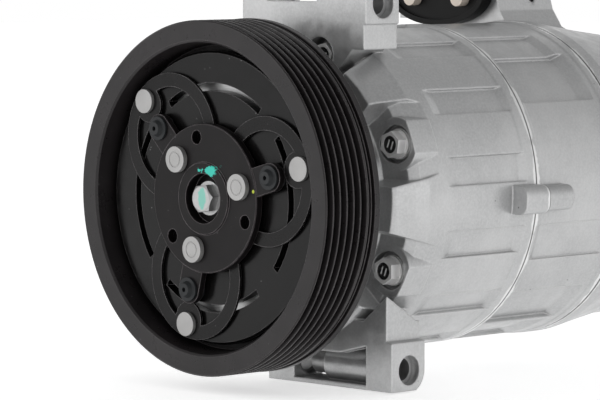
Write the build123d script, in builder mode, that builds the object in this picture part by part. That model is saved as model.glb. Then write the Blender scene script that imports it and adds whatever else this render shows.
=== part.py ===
"""Automotive air-conditioning compressor: seven-cylinder wobble-plate type, driven by a belt through
an electromagnetic clutch.

The shaft runs along Y. The pulley faces -Y, the refrigerant ports are at the +Y end, Z is up.
The origin is on the shaft axis, in the middle of the belt grooves.
Lengths are millimetres. Stations along the shaft are counted rearwards from the pulley's front face.
"""
from build123d import *
from math import cos, radians, sin, sqrt, tan
import os

os.makedirs("parts", exist_ok=True)

# ---- driving dimensions ----
GROOVE_PITCH = 3.56                 # standard multi-rib belt profile
GROOVES = 6
FRONT = -GROOVES * GROOVE_PITCH / 2     # y of the pulley's front face
CREST_R = 68.0
GROOVE_DEPTH = 3.0
RECESS_R = 59.6
FRICTION_S = 12.0                   # station of the rotor's friction face
CAVITY_R = 56.0
PULLEY_REAR_S = 29.5
BEARING_BORE_R = 17.5
BEARING_OUTER_R = 26.0
BEARING_FRONT_S = 13.5
BALL_R = 3.0
BALL_CIRCLE_R = 21.75
BALL_ROWS = (17.7, 25.3)
BALLS = 12

AIR_GAP = 0.6
ARMATURE_R = 56.3
ARMATURE_THICK = 4.5
LEAF_THICK = 1.1
LEAF_GAP = 0.5                      # between the leaf springs and the armature
LOBE_R = 24.7                       # of each leaf spring's arm, about its own centre
LOBE_CIRCLE_R = 31.5
RIVET_ANGLE = 15.3                  # the three clutch arms start here
INNER_RIVET_R = 20.4
OUTER_RIVET_R = 50.9
STOPPER_R = 36.6
HUB_PLATE_R = 28.6
HUB_FRONT_S = 2.2

CYLINDERS = 7
STEP = 360 / CYLINDERS
BOLT_ANGLE = 21.8
BOLT_CIRCLE_R = 56.0
CYLINDER_ANGLE = BOLT_ANGLE + STEP / 2
CYLINDER_CIRCLE_R = 38.0
BORE_R = 14.5
TILT = 21.0                         # of the wobble plate, degrees
ROD_LENGTH = 42.0
CENTRE_S = 106.4                    # where the tilted plate's axis crosses the shaft's

BARREL_R = 63.8
RING_R = 64.2
COIL_SEAT_S = 33.5
CHAMBER_S = 69.5
CHAMBER_R = 49.5
FRONT_SEAM_S = 120.0
REAR_SEAM_S = 173.0
REAR_S = 238.0

EAR_FRONT_S = 48.0
EAR_DEPTH = 18.0
EAR_HOLE_S = 57.5
LOWER_EAR_X = (-11.9, 55.3)
LOWER_EAR_Z = -65.8
UPPER_EAR_X = (-26.5, 41.2)
UPPER_EAR_Z = 74.0
EAR_BORE_R = 5.75
SLEEVE_R = 4.3

RUNNING = 0.05                      # radial running clearance

# ---- worked out from them ----
SIN_T = sin(radians(TILT))
COS_T = cos(radians(TILT))
ROD_BALL_CIRCLE_R = 2 * CYLINDER_CIRCLE_R / (1 + COS_T)
ROD_OFFSET = ROD_BALL_CIRCLE_R * (1 - COS_T) / 2
ARMATURE_FRONT_S = FRICTION_S - AIR_GAP - ARMATURE_THICK
LEAF_FRONT_S = ARMATURE_FRONT_S - LEAF_GAP - LEAF_THICK


def across(station):
    """Plane square to the shaft, seen from the front: local x is X, local y is Z, and -z runs rearwards."""
    return Plane(origin=(0, FRONT + station, 0), x_dir=(1, 0, 0), z_dir=(0, -1, 0))


def tilted(height):
    """Plane square to the wobble plate's axis, `height` along that axis from its centre."""
    centre = Vector(0, FRONT + CENTRE_S, 0) + Vector(0, COS_T, SIN_T) * height
    return Plane(origin=centre, x_dir=(1, 0, 0), z_dir=(0, COS_T, SIN_T))


def turned(outline, mode=Mode.ADD):
    """Revolve a closed outline of (radius, station) points about the shaft axis."""
    with BuildSketch(Plane.XY) as profile:
        with BuildLine():
            Polyline(*[(radius, FRONT + station) for radius, station in outline], close=True)
        make_face()
    revolve(profile.sketch, axis=Axis.Y, mode=mode)


def ring(inner, outer, start, end, mode=Mode.ADD):
    """A plain ring about the shaft axis, from station start to station end."""
    with BuildSketch(across(start)) as profile:
        Circle(outer)
        if inner:
            Circle(inner, mode=Mode.SUBTRACT)
    extrude(profile.sketch, amount=-(end - start), mode=mode)


def rods(radius, circle, count, first, start, end, mode=Mode.ADD):
    """Round bars parallel to the shaft, evenly spaced on a circle."""
    with BuildSketch(across(start)) as profile:
        with PolarLocations(circle, count, start_angle=first):
            Circle(radius)
    extrude(profile.sketch, amount=-(end - start), mode=mode)


def hexes(across_flats, circle, count, first, start, end, mode=Mode.ADD):
    """Hexagonal bars parallel to the shaft, evenly spaced on a circle."""
    with BuildSketch(across(start)) as profile:
        with PolarLocations(circle, count, start_angle=first):
            RegularPolygon(across_flats / 2, 6, major_radius=False)
    extrude(profile.sketch, amount=-(end - start), mode=mode)


def sectors(inner, outer, width, count, first, start, end, mode=Mode.ADD):
    """Ring sectors `width` degrees wide, centred on evenly spaced angles."""
    half = radians(width / 2)
    reach = outer / cos(half)
    with BuildSketch(across(start)) as profile:
        with PolarLocations(0, count, start_angle=first):
            Polygon((0, 0), (reach * cos(half), -reach * sin(half)), (reach * 1.2, 0),
                    (reach * cos(half), reach * sin(half)), align=None)
        Circle(outer, mode=Mode.INTERSECT)
        Circle(inner, mode=Mode.SUBTRACT)
    extrude(profile.sketch, amount=-(end - start), mode=mode)


def recess(low, high, depth, start, end, front_slope, rear_slope):
    """A shallow pocket in the barrel between two angles, with sloping ends."""
    outer = BARREL_R + 0.4
    turn = radians(high)
    plane = Plane(origin=(0, 0, 0), x_dir=(cos(turn), 0, sin(turn)), z_dir=(-sin(turn), 0, cos(turn)))
    with BuildSketch(plane) as profile:
        with BuildLine():
            Polyline((outer + 3, FRONT + start), (outer, FRONT + start),
                     (outer - depth, FRONT + start + front_slope),
                     (outer - depth, FRONT + end - rear_slope), (outer, FRONT + end),
                     (outer + 3, FRONT + end),
                     close=True)
        make_face()
    revolve(profile.sketch, axis=Axis.Y, revolution_arc=high - low, mode=Mode.SUBTRACT)


def arc_slots(radius, width, length, count, first, start, end):
    """Cut curved slots, `length` degrees long, along a circle."""
    sectors(radius - width / 2, radius + width / 2, length, count, first, start, end, mode=Mode.SUBTRACT)


def finish(builder, name):
    """Label the piece and write its STEP file."""
    builder.part.label = name
    export_step(builder.part, f"parts/{name}.step")


# ---- pulley, its bearing and the clutch coil ----
with BuildPart() as pulley:
    crest = 0.5
    outline = [(RECESS_R + 0.8, 0), (CREST_R - 0.6, 0), (CREST_R, 0.5)]
    for k in range(GROOVES):
        start = 0.65 + k * GROOVE_PITCH
        end = start + GROOVE_PITCH - crest
        slope = GROOVE_DEPTH * tan(radians(20))
        outline += [(CREST_R, start), (CREST_R - GROOVE_DEPTH, start + slope)]
        outline += [(CREST_R - GROOVE_DEPTH, end - slope), (CREST_R, end)]
    outline += [(CREST_R, 22.6), (CREST_R - 1.5, 23.0), (CREST_R - 1.5, 23.7)]
    outline += [(CREST_R - 0.4, 24.0), (CREST_R - 0.4, 24.5), (CREST_R - 1.8, 24.8)]
    outline += [(CREST_R - 1.8, 25.3), (CREST_R + 0.2, 25.6), (CREST_R + 0.2, 28.2),
                (CREST_R - 1.3, PULLEY_REAR_S)]
    outline += [(CAVITY_R + 1, PULLEY_REAR_S), (CAVITY_R, PULLEY_REAR_S - 1), (CAVITY_R, FRICTION_S + 5.5)]
    outline += [(31.2, FRICTION_S + 5.5), (31.2, PULLEY_REAR_S), (BEARING_OUTER_R, PULLEY_REAR_S)]
    outline += [(BEARING_OUTER_R, BEARING_FRONT_S), (24.0, BEARING_FRONT_S), (24.0, FRICTION_S)]
    outline += [(58.4, FRICTION_S), (RECESS_R, 0.8)]
    turned(outline)
    arc_slots(35.5, 2.4, 62, 4, 45, FRICTION_S - 1, FRICTION_S + 7)
    arc_slots(49.0, 2.4, 74, 4, 0, FRICTION_S - 1, FRICTION_S + 7)
finish(pulley, "pulley")


def grooved_race(inner, outer):
    """One bearing race, with a ball track for each row."""
    ring(inner, outer, BEARING_FRONT_S, PULLEY_REAR_S)
    for row in BALL_ROWS:
        with BuildSketch(Plane.XY) as track:
            with Locations((BALL_CIRCLE_R, FRONT + row)):
                Circle(BALL_R + RUNNING)
        revolve(track.sketch, axis=Axis.Y, mode=Mode.SUBTRACT)


with BuildPart() as bearing_inner_race:
    grooved_race(BEARING_BORE_R, 20.2)
finish(bearing_inner_race, "bearing_inner_race")

with BuildPart() as bearing_outer_race:
    grooved_race(23.3, BEARING_OUTER_R)
finish(bearing_outer_race, "bearing_outer_race")

with BuildPart() as bearing_balls:
    for row in BALL_ROWS:
        with Locations(across(row)):
            with PolarLocations(BALL_CIRCLE_R, BALLS):
                Sphere(BALL_R)
finish(bearing_balls, "bearing_balls")

with BuildPart() as bearing_cage:
    ring(20.9, 22.6, BALL_ROWS[0] - 2.4, BALL_ROWS[1] + 2.4)
    for row in BALL_ROWS:
        with Locations(across(row)):
            with PolarLocations(BALL_CIRCLE_R, BALLS):
                Sphere(BALL_R + 0.15, mode=Mode.SUBTRACT)
finish(bearing_cage, "bearing_cage")

with BuildPart() as bearing_seals:
    ring(20.35, 23.25, BEARING_FRONT_S + 0.2, BEARING_FRONT_S + 0.9)
    ring(20.35, 23.25, PULLEY_REAR_S - 0.9, PULLEY_REAR_S - 0.2)
finish(bearing_seals, "bearing_seals")

with BuildPart() as coil_shell:
    turned([(23.3, COIL_SEAT_S - 2), (32.2, COIL_SEAT_S - 2), (32.2, 19.5), (34.6, 19.5),
            (34.6, COIL_SEAT_S - 2),
            (51.6, COIL_SEAT_S - 2), (51.6, 19.5), (54.4, 19.5), (54.4, COIL_SEAT_S), (23.3, COIL_SEAT_S)])
finish(coil_shell, "coil_shell")

with BuildPart() as coil_winding:
    ring(34.7, 51.5, 20.4, COIL_SEAT_S - 2.1)
finish(coil_winding, "coil_winding")

with BuildPart() as coil_snap_ring:
    ring(21.6, 25.2, COIL_SEAT_S - 3.4, COIL_SEAT_S - 2.05)
    sectors(20, 27, 24, 1, -90, COIL_SEAT_S - 4, COIL_SEAT_S, mode=Mode.SUBTRACT)
finish(coil_snap_ring, "coil_snap_ring")

with BuildPart() as nose_snap_ring:
    ring(16.3, 19.4, BEARING_FRONT_S - 1.55, BEARING_FRONT_S - 0.05)
    sectors(15, 21, 26, 1, 90, BEARING_FRONT_S - 2, BEARING_FRONT_S + 1, mode=Mode.SUBTRACT)
finish(nose_snap_ring, "nose_snap_ring")

# ---- clutch hub and armature ----
with BuildPart() as drive_hub:
    turned([(9.6, HUB_FRONT_S - 0.8), (13.7, HUB_FRONT_S - 0.8), (14.0, HUB_FRONT_S),
            (HUB_PLATE_R - 0.3, HUB_FRONT_S),
            (HUB_PLATE_R, HUB_FRONT_S + 0.3), (HUB_PLATE_R, LEAF_FRONT_S), (11.0, LEAF_FRONT_S), (11.0, 20.0),
            (7.25, 20.0), (7.25, 8.5), (3.4, 8.5), (3.4, 6.0), (9.6, 6.0)])
    with BuildSketch(across(HUB_FRONT_S + 0.4)) as tongues:
        with PolarLocations(STOPPER_R, 3, start_angle=RIVET_ANGLE):
            Circle(5.5)
        with PolarLocations(STOPPER_R - 7, 3, start_angle=RIVET_ANGLE):
            Rectangle(14, 11)
        Circle(HUB_PLATE_R - 1, mode=Mode.SUBTRACT)
    extrude(tongues.sketch, amount=-(LEAF_FRONT_S - HUB_FRONT_S - 0.4))
    rods(3.0, STOPPER_R, 3, RIVET_ANGLE, 0, LEAF_FRONT_S, mode=Mode.SUBTRACT)
    rods(2.65, 23.6, 3, RIVET_ANGLE - 34.7, 0, LEAF_FRONT_S, mode=Mode.SUBTRACT)
    rods(2.6, INNER_RIVET_R, 3, RIVET_ANGLE, 0, LEAF_FRONT_S, mode=Mode.SUBTRACT)
    with BuildSketch(across(8.5)) as hub_teeth:
        with PolarLocations(7.15, 18, start_angle=10):
            Rectangle(0.8, 0.8)
    extrude(hub_teeth.sketch, amount=-11.5)
finish(drive_hub, "drive_hub")

with BuildPart() as inner_rivets:
    rods(5.0, INNER_RIVET_R, 3, RIVET_ANGLE, 0.2, HUB_FRONT_S)
    rods(2.6, INNER_RIVET_R, 3, RIVET_ANGLE, HUB_FRONT_S, LEAF_FRONT_S + LEAF_THICK)
    rods(4.0, INNER_RIVET_R, 3, RIVET_ANGLE, LEAF_FRONT_S + LEAF_THICK, LEAF_FRONT_S + LEAF_THICK + 1.6)
    with BuildSketch(across(0.2)) as head_rings:
        with PolarLocations(INNER_RIVET_R, 3, start_angle=RIVET_ANGLE):
            Circle(3.1)
            Circle(2.6, mode=Mode.SUBTRACT)
    extrude(head_rings.sketch, amount=-0.2, mode=Mode.SUBTRACT)
finish(inner_rivets, "inner_rivets")

with BuildPart() as outer_rivets:
    rods(4.65, OUTER_RIVET_R, 3, RIVET_ANGLE, 3.9, LEAF_FRONT_S)
    rods(2.4, OUTER_RIVET_R, 3, RIVET_ANGLE, LEAF_FRONT_S, FRICTION_S - AIR_GAP - 0.3)
    rods(3.8, OUTER_RIVET_R, 3, RIVET_ANGLE, LEAF_FRONT_S + LEAF_THICK, ARMATURE_FRONT_S)
finish(outer_rivets, "outer_rivets")

with BuildPart() as leaf_springs:
    with BuildSketch(across(LEAF_FRONT_S)) as leaf_outline:
        with PolarLocations(LOBE_CIRCLE_R, 3, start_angle=RIVET_ANGLE - 1):
            Circle(LOBE_R)
            Circle(LOBE_R - 5.4, mode=Mode.SUBTRACT)
        with PolarLocations(OUTER_RIVET_R - 1.8, 3, start_angle=RIVET_ANGLE):
            Circle(7.0)
        Circle(27.0)
        Circle(11.6, mode=Mode.SUBTRACT)
        with PolarLocations(INNER_RIVET_R, 3, start_angle=RIVET_ANGLE):
            Circle(2.6, mode=Mode.SUBTRACT)
        with PolarLocations(OUTER_RIVET_R, 3, start_angle=RIVET_ANGLE):
            Circle(2.4, mode=Mode.SUBTRACT)
    extrude(leaf_outline.sketch, amount=-LEAF_THICK)
finish(leaf_springs, "leaf_springs")

with BuildPart() as armature_plate:
    armature_rear = FRICTION_S - AIR_GAP
    turned([(26.0, ARMATURE_FRONT_S), (ARMATURE_R - 1, ARMATURE_FRONT_S), (ARMATURE_R, ARMATURE_FRONT_S + 1),
            (ARMATURE_R, armature_rear), (26.0, armature_rear)])
    arc_slots(42.5, 3.0, 72, 4, -1, ARMATURE_FRONT_S - 1, armature_rear + 1)
    rods(2.4, OUTER_RIVET_R, 3, RIVET_ANGLE, ARMATURE_FRONT_S - 1, armature_rear + 1, mode=Mode.SUBTRACT)
finish(armature_plate, "armature_plate")

with BuildPart() as rubber_stoppers:
    rods(4.6, STOPPER_R, 3, RIVET_ANGLE, 1.7, HUB_FRONT_S + 0.4)
    rods(3.0, STOPPER_R, 3, RIVET_ANGLE, HUB_FRONT_S + 0.4, LEAF_FRONT_S)
    rods(4.6, STOPPER_R, 3, RIVET_ANGLE, LEAF_FRONT_S, ARMATURE_FRONT_S - 0.05)
    with BuildSketch(across(1.7)) as nipples:
        with PolarLocations(STOPPER_R, 3, start_angle=RIVET_ANGLE):
            Circle(3.3)
    extrude(nipples.sketch, amount=1.7, taper=28)
    rods(0.9, STOPPER_R, 3, RIVET_ANGLE, -1, ARMATURE_FRONT_S - 3, mode=Mode.SUBTRACT)
finish(rubber_stoppers, "rubber_stoppers")

with BuildPart() as gap_shim:
    ring(3.4, 6.4, 8.5, 9.1)
finish(gap_shim, "gap_shim")

with BuildPart() as hub_bolt:
    hexes(10, 0, 1, 8, 0.3, 4.6)
    turned([(0, 0.3), (4.5, 0.3), (5.9, 1.3), (5.9, 4.6), (0, 4.6)], mode=Mode.INTERSECT)
    ring(0, 6.6, 4.6, 6.0)
    ring(0, 3.0, 6.0, 24.0)
finish(hub_bolt, "hub_bolt")

# ---- shaft line ----
with BuildPart() as shaft:
    turned([(0, 9.1), (6.0, 9.1), (6.6, 9.7), (6.6, 21.5), (8.0, 22.5), (8.0, 40.0), (9.0, 41.0), (9.0, 66.0),
            (10.0, 67.0), (10.0, 86.5), (9.0, 87.5), (0, 87.5)])
    with BuildSketch(across(9.7)) as shaft_teeth:
        with PolarLocations(6.55, 18):
            Rectangle(1.1, 1.1)
    extrude(shaft_teeth.sketch, amount=-11.5)
    ring(0, 3.0, 9.0, 25.0, mode=Mode.SUBTRACT)
finish(shaft, "shaft")

with BuildPart() as shaft_seal:
    turned([(8.0 + 0.03, 29.2), (8.8, 28.2), (10.0, 25.2), (13.0, 25.2), (13.0, 32.0), (9.2, 32.0),
            (8.03, 30.0)])
finish(shaft_seal, "shaft_seal")

with BuildPart() as seal_snap_ring:
    ring(11.8, 14.2, 23.6, 25.1)
    sectors(10, 16, 40, 1, 90, 23, 26, mode=Mode.SUBTRACT)
finish(seal_snap_ring, "seal_snap_ring")

with BuildPart() as shaft_needle_bearing:
    ring(11.5, 13.0, 43.0, 63.0)
    rods(1.18, 10.25, 20, 0, 44.5, 61.5)
finish(shaft_needle_bearing, "shaft_needle_bearing")


def needle_cage(plane, inner, outer, gap, count):
    """A flat cage of radial needle rollers that fills `gap` above its plane."""
    needle_r = gap / 2 - 0.03
    middle = (inner + outer) / 2
    length = outer - inner - 3
    with BuildSketch(plane.offset(gap / 2 - 0.5)) as washer:
        Circle(outer)
        Circle(inner, mode=Mode.SUBTRACT)
        with PolarLocations(middle, count):
            Rectangle(length + 0.6, 2 * needle_r + 0.5, mode=Mode.SUBTRACT)
    extrude(washer.sketch, amount=1.0)
    with Locations(plane.offset(gap / 2)):
        with PolarLocations(middle, count):
            Cylinder(needle_r, length, rotation=(0, 90, 0))


with BuildPart() as rotor_thrust_bearing:
    needle_cage(across(CHAMBER_S + 2.5), 14.0, 31.0, 2.5, 20)
finish(rotor_thrust_bearing, "rotor_thrust_bearing")

PLATE_FACE = -9.0                   # front face of the wobble plate, along its own axis
ROTOR_FACE = PLATE_FACE - 2.5

with BuildPart() as plate_thrust_bearing:
    needle_cage(tilted(ROTOR_FACE), 21.0, 36.0, 2.5, 22)
finish(plate_thrust_bearing, "plate_thrust_bearing")

with BuildPart() as cam_rotor:
    ring(10.0, 37.5, CHAMBER_S + 2.5, CENTRE_S + 10)
    split(bisect_by=tilted(ROTOR_FACE), keep=Keep.BOTTOM)
    with BuildSketch(across(CHAMBER_S + 9)) as lightening:
        with PolarLocations(25.5, 3, start_angle=-130, angular_range=80):
            Circle(5.5)
    extrude(lightening.sketch, amount=-60, mode=Mode.SUBTRACT)
finish(cam_rotor, "cam_rotor")

# ---- wobble plate, its gears and ball cups ----
CUP_R = 7.4
ROD_BALL_R = 5.5
CUP_TOP = 2.2
GEAR_TEETH = 20
PITCH_SLOPE = tan(radians(TILT / 2))
GEAR_IN, GEAR_OUT = 8.6, 13.0
GEAR_STEM_R = 8.0
PIVOT_R = 6.0


def ball_seat(angle):
    """Centre of the rod ball at this cylinder angle, in the plane through the wobble centre."""
    return (ROD_BALL_CIRCLE_R * cos(radians(angle)), ROD_BALL_CIRCLE_R * sin(radians(angle)))


ANGLES = [CYLINDER_ANGLE + STEP * k for k in range(CYLINDERS)]

# The tilted plane's local y points down, so angles in it are mirrored.
SEATS = [(x, -z) for x, z in (ball_seat(angle) for angle in ANGLES)]

with BuildPart() as wobble_plate:
    with BuildSketch(tilted(PLATE_FACE)) as plate_disc:
        Circle(46.4)
        Circle(14.2, mode=Mode.SUBTRACT)
    extrude(plate_disc.sketch, amount=-PLATE_FACE + 1.2)
    with BuildSketch(tilted(1.2)) as hollow:
        Circle(30.5)
    extrude(hollow.sketch, amount=-5.0, mode=Mode.SUBTRACT)
    with Locations(tilted(0)):
        with Locations(*SEATS):
            Sphere(CUP_R + RUNNING, mode=Mode.SUBTRACT)
finish(wobble_plate, "wobble_plate")


def gear_teeth(plane, first):
    """Radial teeth on a flat gear face. The plane passes through the wobble centre and faces the mate."""
    top = 0.7
    for k in range(GEAR_TEETH):
        turn = radians(first + k * 360 / GEAR_TEETH)
        radial = plane.x_dir * cos(turn) + plane.y_dir * sin(turn)
        side = radial.cross(plane.z_dir)
        with BuildSketch(Plane(origin=plane.origin, x_dir=radial, z_dir=side)) as tooth:
            with BuildLine():
                Polyline((GEAR_IN, -3.6), (GEAR_OUT, -3.6), (GEAR_OUT, top - PITCH_SLOPE * GEAR_OUT),
                         (GEAR_IN, top - PITCH_SLOPE * GEAR_IN), close=True)
            make_face()
        extrude(tooth.sketch, amount=0.45, both=True)


GEAR_FACE = 0.95 + PITCH_SLOPE * GEAR_OUT      # from the wobble centre to each gear's face

with BuildPart() as moving_gear:
    with BuildSketch(tilted(-7.5)) as gear_disc:
        Circle(14.1)
    extrude(gear_disc.sketch, amount=7.5 - GEAR_FACE)
    gear_teeth(tilted(0), 180 / GEAR_TEETH)
    with Locations(tilted(0)):
        Sphere(PIVOT_R + RUNNING, mode=Mode.SUBTRACT)
finish(moving_gear, "moving_gear")

with BuildPart() as fixed_gear:
    ring(0, 13.8, CENTRE_S + GEAR_FACE, CENTRE_S + 11)
    ring(0, GEAR_STEM_R, CENTRE_S + 11, CENTRE_S + 40)
    gear_teeth(across(CENTRE_S), 0)
    with Locations(across(CENTRE_S)):
        Sphere(PIVOT_R + RUNNING, mode=Mode.SUBTRACT)
finish(fixed_gear, "fixed_gear")

with BuildPart() as pivot_ball:
    with Locations(across(CENTRE_S)):
        Sphere(PIVOT_R)
finish(pivot_ball, "pivot_ball")

for number, seat in enumerate(SEATS, start=1):
    with BuildPart() as ball_cup:
        with Locations(tilted(0)):
            with Locations(seat):
                Sphere(CUP_R)
                Sphere(ROD_BALL_R + RUNNING, mode=Mode.SUBTRACT)
        split(bisect_by=tilted(CUP_TOP), keep=Keep.BOTTOM)
    finish(ball_cup, f"ball_cup_{number}")

# ---- pistons, each with its connecting rod and ring as separate solids ----
PISTON_R = BORE_R - 0.04
PISTON_BALL_R = 5.0
ROD_R = 3.0
CROWN = 10.2                        # above the piston's ball centre
SKIRT = 11.0                        # below it

for number, angle in enumerate(ANGLES, start=1):
    plane_x, plane_z = ball_seat(angle)
    seat_point = Vector(plane_x, FRONT + CENTRE_S - plane_z * SIN_T, plane_z * COS_T)
    axis_x = CYLINDER_CIRCLE_R * cos(radians(angle))
    axis_z = CYLINDER_CIRCLE_R * sin(radians(angle))
    pin_point = Vector(axis_x, seat_point.Y + sqrt(ROD_LENGTH ** 2 - ROD_OFFSET ** 2), axis_z)
    along = pin_point - seat_point
    up = Plane(origin=pin_point, x_dir=(1, 0, 0), z_dir=(0, 1, 0))
    with BuildPart() as body:
        with BuildSketch(up.offset(-SKIRT)) as skirt:
            Circle(PISTON_R)
        extrude(skirt.sketch, amount=SKIRT + CROWN)
        with BuildSketch(up.offset(-SKIRT)) as hollow:
            Circle(11.2)
        extrude(hollow.sketch, amount=SKIRT - 5.5, mode=Mode.SUBTRACT)
        with BuildSketch(up.offset(-6)) as mouth:
            Circle(4.1)
        extrude(mouth.sketch, amount=6, mode=Mode.SUBTRACT)
        with Locations(up):
            Sphere(PISTON_BALL_R + RUNNING, mode=Mode.SUBTRACT)
        with BuildSketch(up.offset(6.5)) as groove:
            Circle(PISTON_R + 1)
            Circle(PISTON_R - 1.1, mode=Mode.SUBTRACT)
        extrude(groove.sketch, amount=1.6, mode=Mode.SUBTRACT)
    with BuildPart() as rod:
        with BuildSketch(Plane(origin=seat_point, z_dir=along)) as section:
            Circle(ROD_R)
        extrude(section.sketch, amount=ROD_LENGTH)
        with Locations(seat_point):
            Sphere(ROD_BALL_R)
        with Locations(pin_point):
            Sphere(PISTON_BALL_R)
    with BuildPart() as piston_ring:
        with BuildSketch(up.offset(6.55)) as band:
            Circle(PISTON_R + 0.02)
            Circle(PISTON_R - 1.0, mode=Mode.SUBTRACT)
        extrude(band.sketch, amount=1.5)
    piston = Compound(label=f"piston_{number}", children=[body.part, rod.part, piston_ring.part])
    export_step(piston, f"parts/piston_{number}.step")

# ---- front housing with its mounting ears ----
POCKET_R = 7.4
POCKET_S = 56.0
HEAD_FRONT_S = 49.8                 # front of the through bolts' heads
PAD_FRONT_S = 46.0
PAD_REAR_S = 66.5
BOLT_HOLE_R = 3.3
DOWEL_ANGLES = (-2.3, 203.4)
WINDOW_X = (2.1, 41.5)
TUBE_R = 7.4
TUBE_X = 16.4                       # left end of the tube seen in the window
GAP_X = (-12.9, 14.6)
GAP_Z = 74.5


def bar_along_x(radius, start_x, end_x, height, mode=Mode.ADD):
    """A round bar along X through a mounting ear's hole line."""
    with BuildSketch(Plane.YZ.offset(start_x)) as circle:
        with Locations((FRONT + EAR_HOLE_S, height)):
            Circle(radius)
    extrude(circle.sketch, amount=end_x - start_x, mode=mode)


def slab(outline, start, end, mode=Mode.ADD):
    """A flat slab square to the shaft from an outline of (X, Z) points."""
    with BuildSketch(across(start)) as face:
        with BuildLine():
            Polyline(*outline, close=True)
        make_face()
    extrude(face.sketch, amount=-(end - start), mode=mode)


def round_off(height, away):
    """Round an ear's rear corner beyond its hole; `away` is +1 for the upper ear, -1 for the lower."""
    rear = FRONT + EAR_FRONT_S + EAR_DEPTH
    size = 9.2
    with BuildSketch(Plane.YZ.offset(-80)) as corner:
        with Locations((rear - size / 2 + 2, height + away * (size / 2 + 2))):
            Rectangle(size + 4, size + 4)
        with Locations((rear - size, height)):
            Circle(size, mode=Mode.SUBTRACT)
            Rectangle(0.01, 0.01, mode=Mode.SUBTRACT)
    extrude(corner.sketch, amount=160, mode=Mode.SUBTRACT)


def lug(angle, start, end, half_width, reach):
    """Half of the raised lug that holds a dowel across the front joint."""
    inner = CHAMBER_R + 6
    with BuildSketch(across(start)) as outline:
        with PolarLocations((inner + reach) / 2, 1, start_angle=angle):
            RectangleRounded(reach - inner, 2 * half_width, 4.0)
    extrude(outline.sketch, amount=-(end - start))


with BuildPart() as pad_wedges:
    for angle in ANGLES:
        turn = radians(angle)
        outward = Plane(origin=(0, 0, 0), x_dir=(-sin(turn), 0, cos(turn)), z_dir=(cos(turn), 0, sin(turn)))
        with BuildSketch(outward.offset(44)) as trapezoid:
            Polygon((-8.7, -FRONT - PAD_FRONT_S), (8.7, -FRONT - PAD_FRONT_S), (14.2, -FRONT - PAD_REAR_S),
                    (-14.2, -FRONT - PAD_REAR_S), align=None)
        extrude(trapezoid.sketch, amount=24)

with BuildPart() as pads:
    turned([(45.2, PAD_FRONT_S - 1), (56.4, PAD_FRONT_S - 1), (58.2, PAD_FRONT_S + 1.4), (BARREL_R, 60.0),
            (BARREL_R, PAD_REAR_S + 1), (45.2, PAD_REAR_S + 1)])
    add(pad_wedges.part, mode=Mode.INTERSECT)

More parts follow.
